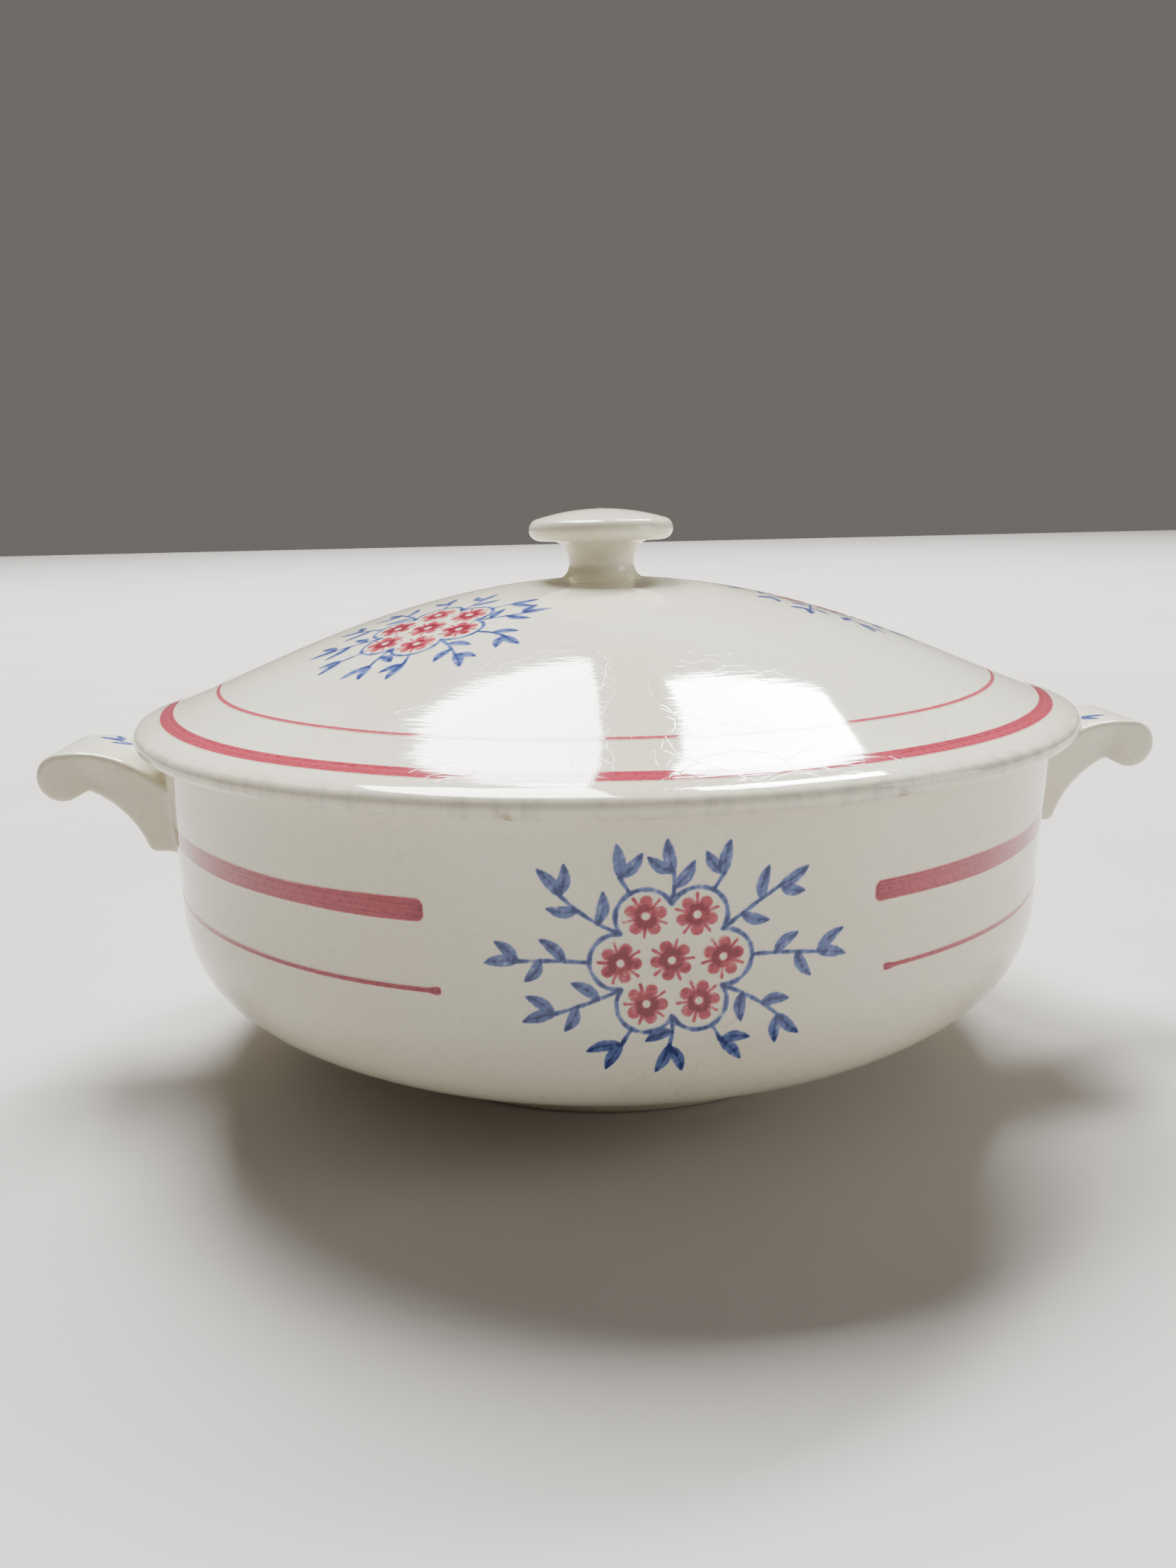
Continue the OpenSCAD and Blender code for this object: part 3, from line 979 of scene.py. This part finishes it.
def streaks(seed, along, across):
    """Brush streaks: quick across the band, slow along it, about -1 to 1."""
    rng = np.random.default_rng(seed)
    total = 0
    for _ in range(16):
        hair = np.sin(across * rng.uniform(2, 12) + along * rng.uniform(-0.06, 0.06) + rng.uniform(0, FULL_TURN))
        swell = 0.6 + 0.4 * np.sin(along * rng.uniform(0.02, 0.15) + rng.uniform(0, FULL_TURN))
        total = total + hair * swell
    return total / 4


def band_strip(name, seed, place, length, height, ink, blobs):
    """A long brush stroke on the bowl with rounded ends, darker along its edges and where the brush lifts."""
    u = np.arange(-1.5, length + 1.5, 0.6)
    v = np.arange(-height / 2 - 0.8, height / 2 + 0.8, min(0.36, height / 6))
    corner = min(height / 2, 1.6)

    def paint(p):
        along, across = p[..., 0], p[..., 1] + 0.12 * np.sin(p[..., 0] * 0.07 + seed)
        far = np.minimum(along, length - along)
        half = height / 2 * (1 + 0.05 * np.sin(along * 0.11 + seed)) + blobs * np.exp(-(far - 1) ** 2 / 2)
        edge_u, edge_v = corner - far, np.abs(across) - half + corner
        depth = corner - np.hypot(np.maximum(edge_u, 0), np.maximum(edge_v, 0)) - np.minimum(
            np.maximum(edge_u, edge_v), 0)
        tone = ink * (1 + 0.16 * streaks(seed, along, across)) + 0.12 * np.exp(-(depth / 0.5) ** 2)
        tone = tone + 0.16 * np.exp(-far / 3)
        return depth + FEATHER, tone * np.clip((depth + FEATHER) / (2 * FEATHER), 0, 1)

    depth, _ = paint(np.stack(np.meshgrid(u, v, indexing="ij"), -1))
    flat, faces = cut_sheet(u, v, depth)
    painted_object(name, flat, faces, place, paint(flat)[1], RED, "dish", "red_paint")


def band_ring(name, seed, inner_r, outer_r, ink):
    """A painted ring on the lid."""
    rows = max(5, round((outer_r - inner_r + 2 * FEATHER) / 0.3))
    radii = np.linspace(inner_r - FEATHER, outer_r + FEATHER, rows)
    turns = np.arange(720) * FULL_TURN / 720
    rr, tt = np.meshgrid(radii, turns, indexing="ij")
    drift = 0.15 * np.sin(3 * tt + seed) + 0.08 * np.sin(7 * tt + 2 * seed)
    rr = rr + drift
    points = []
    faces = []
    for lift in (PAINT_LIFT["red_paint"], -PAINT_SINK):
        slope = (dome_height(rr + 0.05) - dome_height(rr - 0.05)) / 0.1
        spots, normals = turned_points(rr, dome_height(rr), -slope, np.ones_like(rr), tt)
        points.append(sink(spots.reshape(-1, 3), normals.reshape(-1, 3), lift))
    layer = rows * 720
    for j in range(720):
        k = (j + 1) % 720
        for i in range(rows - 1):
            quad = (i * 720 + j, (i + 1) * 720 + j, (i + 1) * 720 + k, i * 720 + k)
            faces.append(quad)
            faces.append(tuple(n + layer for n in quad[::-1]))
        faces.append((k, k + layer, j + layer, j)[::-1])
        last = (rows - 1) * 720
        faces.append((last + j, last + j + layer, last + k + layer, last + k))
    piece = new_object(name, np.vstack(points), faces, RED, "cover", smooth_angle=30)
    across = rr - drift - (inner_r + outer_r) / 2
    depth = (outer_r - inner_r) / 2 - np.abs(across)
    around = np.sin(tt) * 60 + np.sin(2 * tt + seed) * 25
    tone = ink * (1 + 0.16 * streaks(seed, around, across)) + 0.12 * np.exp(-(depth / 0.5) ** 2)
    tone = tone * np.clip((depth + FEATHER) / (2 * FEATHER), 0, 1)
    values = np.clip(np.concatenate([tone.ravel(), tone.ravel()]), 0, 1).astype(np.float32)
    piece.data.attributes.new("ink", "FLOAT", "POINT").data.foreach_set("value", values)


def add_bowl_bands():
    """Wide and fine bands run from the front painting round each handle's root to the back painting."""
    for name, z, height, ink, blob, left_gap, right_gap in (
            ("wide", 69.9, 4.9, 0.74, 0.0, 52.5, 46.5), ("fine", 52.0, 1.0, 0.70, 0.35, 49.5, 50.0)):
        length = math.pi * PAINT_RADIUS - left_gap - right_gap
        band_strip("bowl_band_" + name + "_right", 4, on_bowl(FRONT + right_gap / PAINT_RADIUS, z), length,
                   height, ink, blob)
        band_strip("bowl_band_" + name + "_left", 9,
                   on_bowl(FRONT + math.pi + right_gap / PAINT_RADIUS, z), length, height, ink, blob)


add_bowl_bands()
band_ring("lid_band_wide", 6, 119.4, 122.8, 0.70)
band_ring("lid_band_fine", 13, 107.1, 108.0, 0.55)


# ------------------------------------------------------------------------------- handle sprigs

def on_handle(direction, middle_y):
    """Where (u, v) lies on a handle's back: u across the handle, v outwards from under the lid's edge."""
    def place(u, v):
        angle = math.radians(112) - v / BACK_R
        normals = np.stack([direction * np.cos(angle), 0 * angle, np.sin(angle)], -1)
        centre = np.array([direction * BACK_CENTRE[0], 0, BACK_CENTRE[1]])
        points = centre + BACK_R * normals + np.stack([0 * u, middle_y - direction * u, 0 * u], -1)
        return points + normals * unevenness(points)[:, None], normals
    return place


def handle_sprig(seed):
    brush = Brush(seed)
    draw_sprig(brush, (0, -1), 90, 8, 1)
    return brush


for handle_side, way, sprig_y in (("left", -1, 6), ("right", 1, -3)):
    add_painting("handle_" + handle_side + "_sprig", handle_sprig(31 + way), on_handle(way, sprig_y),
                 ((-9, -2), (9, 20)), BLUE, "dish", "blue_paint")


# ----------------------------------------------------------------------------- floor and lights

def floor_material():
    material, g = new_material("studio_floor")
    place = g.add("ShaderNodeTexCoord").outputs["Object"]
    colour = g.blend(g.ramp(g.noise(place, 6, 3), 0.3, 0.7), (0.50, 0.48, 0.45), (0.53, 0.51, 0.48))
    shader = g.add("ShaderNodeBsdfPrincipled", Base_Color=colour, Roughness=0.7)
    g.add("ShaderNodeOutputMaterial", Surface=shader.outputs[0])
    return material


def add_floor():
    mesh = bpy.data.meshes.new("floor")
    side = 4.0
    corners = [(-side, -side, 0), (side, -side, 0), (side, side, 0), (-side, side, 0)]
    mesh.from_pydata(corners, [], [(0, 1, 2, 3)])
    mesh.materials.append(floor_material())
    floor = bpy.data.objects.new("floor", mesh)
    bpy.context.scene.collection.objects.link(floor)


def add_softbox(name, azimuth, elevation, distance, size, power, tilt=0.0, colour=(1, 1, 1)):
    """A soft light aimed at the lid. Azimuth turns from straight behind the dish towards the right."""
    az, el = math.radians(azimuth), math.radians(elevation)
    aim = Vector((0, 0, 0.1))
    way = Vector((math.sin(az) * math.cos(el), math.cos(az) * math.cos(el), math.sin(el)))
    data = bpy.data.lights.new(name, "AREA")
    data.shape = "RECTANGLE"
    data.size, data.size_y = size
    data.energy = power
    data.color = colour
    light = bpy.data.objects.new(name, data)
    turn = way.to_track_quat("Z", "Y").to_matrix().to_4x4() @ Matrix.Rotation(math.radians(tilt), 4, "Z")
    light.matrix_world = Matrix.Translation(aim + way * distance) @ turn
    bpy.context.scene.collection.objects.link(light)


def add_world():
    world = bpy.data.worlds.new("studio")
    world.use_nodes = True
    background = world.node_tree.nodes["Background"]
    background.inputs["Color"].default_value = (0.80, 0.745, 0.68, 1)
    background.inputs["Strength"].default_value = 0.2
    bpy.context.scene.world = world


add_floor()
add_world()
add_softbox("window_left", -14.7, 59.9, 4, (1.41, 1.88), 480, -7.5)
add_softbox("window_right", 26.7, 48.2, 4, (0.42, 1.16), 205, -45)
add_softbox("fill_right", 108, 15, 1.8, (0.8, 1.0), 11)
